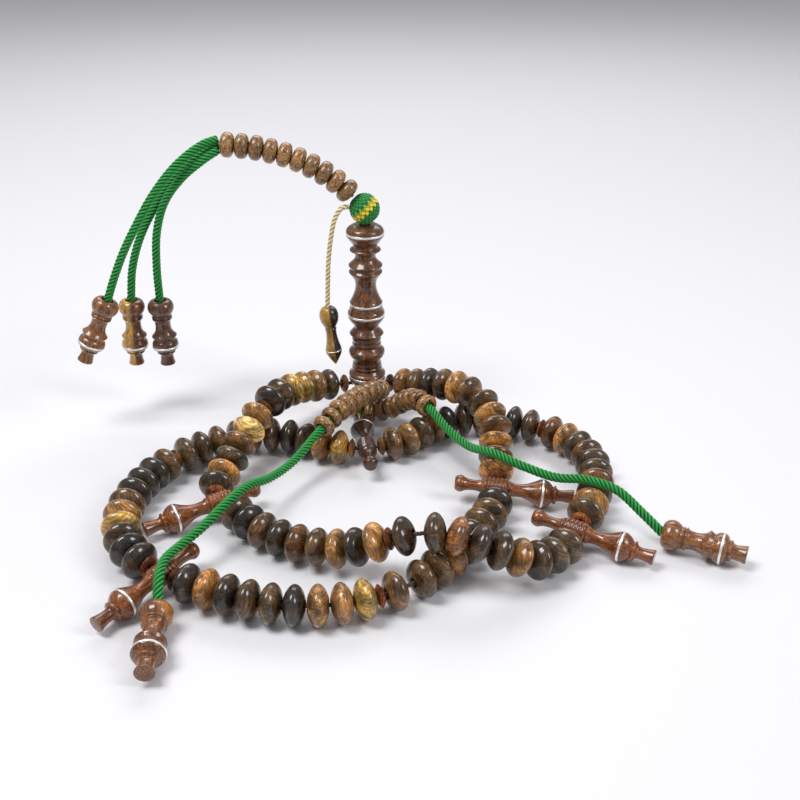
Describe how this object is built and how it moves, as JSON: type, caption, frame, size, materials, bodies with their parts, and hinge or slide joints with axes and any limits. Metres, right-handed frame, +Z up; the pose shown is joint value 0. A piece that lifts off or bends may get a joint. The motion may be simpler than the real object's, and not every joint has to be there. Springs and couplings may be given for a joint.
{
  "type": "prayer beads",
  "caption": "Misbaha prayer beads: a loop of turned wooden beads with crossbars, an upright leader piece, a corded tail with turned finials and two counter strings.",
  "frame": {"origin": "centre of the imam's foot, on the surface that the beads lie on", "axes": "+Z up along the imam, +Y away from the front, +X to the right"},
  "size_m": [0.181, 0.1327, 0.0866],
  "materials": {
    "imam_wood": "polished reddish brown",
    "loop_bead_wood": "polished dark, streaked",
    "crossbar_wood": "polished",
    "tail_bead_wood": "polished, speckled grain",
    "counter_bead_wood": "polished, speckled grain",
    "finial_wood": "polished",
    "pendant_wood": "polished, two-tone",
    "silver_inlay": "polished silver wire",
    "green_cord": "twisted cord",
    "knot_cord": "woven over a ball",
    "gold_cord": "metallic braid",
    "inner_string": "plain twisted string"
  },
  "bodies": {
    "loop_and_imam": {"imam_disc_1": "crossbar_wood", "beads_1a": "loop_bead_wood", "beads_1b": "loop_bead_wood", "beads_2a": "loop_bead_wood", "beads_2b": "loop_bead_wood", "beads_3a": "loop_bead_wood", "beads_3b": "loop_bead_wood", "beads_4a": "loop_bead_wood", "beads_4b": "loop_bead_wood", "beads_5a": "loop_bead_wood", "beads_5b": "loop_bead_wood", "imam_disc_6": "crossbar_wood", "beads_6a": "loop_bead_wood", "beads_6b": "loop_bead_wood", "loop_string": "inner_string", "imam": "imam_wood", "imam_ring_1": "silver_inlay", "imam_ring_2": "silver_inlay", "imam_ring_3": "silver_inlay", "imam_ring_4": "silver_inlay", "imam_strands": "inner_string", "counter_left_beads": "counter_bead_wood", "counter_left_cord": "green_cord", "counter_right_beads": "counter_bead_wood", "counter_right_cord": "green_cord"},
    "knot_body": {"knot": "knot_cord", "gold_cord": "gold_cord"},
    "tail": {"tail_string": "inner_string", "tail_bead_1": "tail_bead_wood", "tail_bead_2": "tail_bead_wood", "tail_bead_3": "tail_bead_wood", "tail_bead_4": "tail_bead_wood", "tail_bead_5": "tail_bead_wood", "tail_bead_6": "tail_bead_wood", "tail_bead_7": "tail_bead_wood", "tail_bead_8": "tail_bead_wood", "tail_bead_9": "tail_bead_wood", "tail_bead_10": "tail_bead_wood", "tail_cord_left": "green_cord", "tail_cord_middle": "green_cord", "tail_cord_right": "green_cord"},
    "tail_finial_left": {"tail_finial_left": "finial_wood"},
    "tail_finial_middle": {"tail_finial_middle": "finial_wood"},
    "tail_finial_right": {"tail_finial_right": "finial_wood"},
    "pendant": {"pendant": "pendant_wood"},
    "loose_bead_1": {"loose_bead_1": "loop_bead_wood"},
    "loose_bead_2": {"loose_bead_2": "loop_bead_wood"},
    "loose_bead_5": {"loose_bead_5": "loop_bead_wood"},
    "loose_bead_6": {"loose_bead_6": "loop_bead_wood"},
    "crossbar_left_inner": {"crossbar_left_inner": "crossbar_wood"},
    "crossbar_right_outer": {"crossbar_right_outer": "crossbar_wood"},
    "crossbar_middle": {"crossbar_middle": "crossbar_wood"},
    "crossbar_left_outer": {"crossbar_left_outer": "crossbar_wood"},
    "crossbar_right_inner": {"crossbar_right_inner": "crossbar_wood"},
    "counter_left_bead_9": {"counter_left_bead_9": "counter_bead_wood"},
    "counter_left_bead_10": {"counter_left_bead_10": "counter_bead_wood"},
    "counter_left_finial": {"counter_left_finial": "finial_wood"},
    "counter_right_bead_9": {"counter_right_bead_9": "counter_bead_wood"},
    "counter_right_bead_10": {"counter_right_bead_10": "counter_bead_wood"},
    "counter_right_finial": {"counter_right_finial": "finial_wood"}
  },
  "joints": [
    {"name": "tail_turn", "type": "hinge", "parent": "loop_and_imam", "child": "knot_body", "pos_m": [0, 0, 0.0648], "axis": [0, 0, 1], "range_deg": [-30, 30]},
    {"name": "tail_nod", "type": "hinge", "parent": "knot_body", "child": "tail", "pos_m": [0, 0, 0.0648], "axis": [0, 1, 0], "range_deg": [-3, 30]},
    {"name": "tail_finial_left_swing", "type": "hinge", "parent": "tail", "child": "tail_finial_left", "pos_m": [-0.07513, -0.00961, 0.04087], "axis": [0, 1, 0], "range_deg": [-20, 30]},
    {"name": "tail_finial_middle_swing", "type": "hinge", "parent": "tail", "child": "tail_finial_middle", "pos_m": [-0.07065, -0.00041, 0.03705], "axis": [0, 1, 0], "range_deg": [-3, 3]},
    {"name": "tail_finial_right_swing", "type": "hinge", "parent": "tail", "child": "tail_finial_right", "pos_m": [-0.06201, -0.0008, 0.03705], "axis": [0, 1, 0], "range_deg": [-20, 3]},
    {"name": "pendant_swing", "type": "hinge", "parent": "knot_body", "child": "pendant", "pos_m": [-0.01157, -0.002, 0.03485], "axis": [1, 0, 0], "range_deg": [-20, 20]},
    {"name": "crossbar_left_inner_roll", "type": "hinge", "parent": "loop_and_imam", "child": "crossbar_left_inner", "pos_m": [-0.0388, -0.0626, 0.0049], "axis": [0.4919, -0.8707, 0.0001], "range_deg": [-20, 2]},
    {"name": "crossbar_right_outer_roll", "type": "hinge", "parent": "loop_and_imam", "child": "crossbar_right_outer", "pos_m": [0.053, -0.0775, 0.0048], "axis": [0.478, 0.8783, -0.004], "range_deg": [-20, 0]},
    {"name": "crossbar_middle_roll", "type": "hinge", "parent": "loop_and_imam", "child": "crossbar_middle", "pos_m": [0, -0.0352, 0.0049], "axis": [-0.9937, -0.1117, 0.0006], "range_deg": [-15, 2]},
    {"name": "crossbar_left_outer_roll", "type": "hinge", "parent": "loop_and_imam", "child": "crossbar_left_outer", "pos_m": [-0.0485, -0.0932, 0.0048], "axis": [0.8083, -0.5888, -0.0012], "range_deg": [-20, 0]},
    {"name": "crossbar_right_inner_roll", "type": "hinge", "parent": "loop_and_imam", "child": "crossbar_right_inner", "pos_m": [0.0352, -0.0572, 0.0049], "axis": [0.1343, 0.9897, 0.0504], "range_deg": [-6, 2]},
    {"name": "loose_bead_1_slide", "type": "slide", "parent": "loop_and_imam", "child": "loose_bead_1", "axis": [-0.7718, -0.5952, 0.2238], "range_m": [-0.0018, 0]},
    {"name": "loose_bead_2_slide", "type": "slide", "parent": "loop_and_imam", "child": "loose_bead_2", "axis": [0.9073, -0.2334, 0.3496], "range_m": [0, 0.0018]},
    {"name": "loose_bead_5_slide", "type": "slide", "parent": "loop_and_imam", "child": "loose_bead_5", "axis": [0.8681, 0.4964, 0], "range_m": [0, 0.0018]},
    {"name": "loose_bead_6_slide", "type": "slide", "parent": "loop_and_imam", "child": "loose_bead_6", "axis": [-0.7594, 0.6015, -0.248], "range_m": [0, 0.001]},
    {"name": "counter_left_bead_9_slide", "type": "slide", "parent": "loop_and_imam", "child": "counter_left_bead_9", "axis": [-0.5183, -0.8337, -0.1907], "range_m": [0, 0.0035]},
    {"name": "counter_left_bead_10_slide", "type": "slide", "parent": "counter_left_bead_9", "child": "counter_left_bead_10", "axis": [-0.5163, -0.8182, -0.2529], "range_m": [0, 0.0035]},
    {"name": "counter_left_finial_swing", "type": "hinge", "parent": "loop_and_imam", "child": "counter_left_finial", "pos_m": [-0.04718, -0.1059, 0.00462], "axis": [0, 0, 1], "range_deg": [-20, 20]},
    {"name": "counter_right_bead_9_slide", "type": "slide", "parent": "loop_and_imam", "child": "counter_right_bead_9", "axis": [0.4966, -0.8547, 0.1515], "range_m": [0, 0.001]},
    {"name": "counter_right_bead_10_slide", "type": "slide", "parent": "counter_right_bead_9", "child": "counter_right_bead_10", "axis": [0.5006, -0.8641, -0.0516], "range_m": [0, 0.0008]},
    {"name": "counter_right_finial_swing", "type": "hinge", "parent": "loop_and_imam", "child": "counter_right_finial", "pos_m": [0.07503, -0.0782, 0.00433], "axis": [0, 0, 1], "range_deg": [-20, 20]}
  ]
}
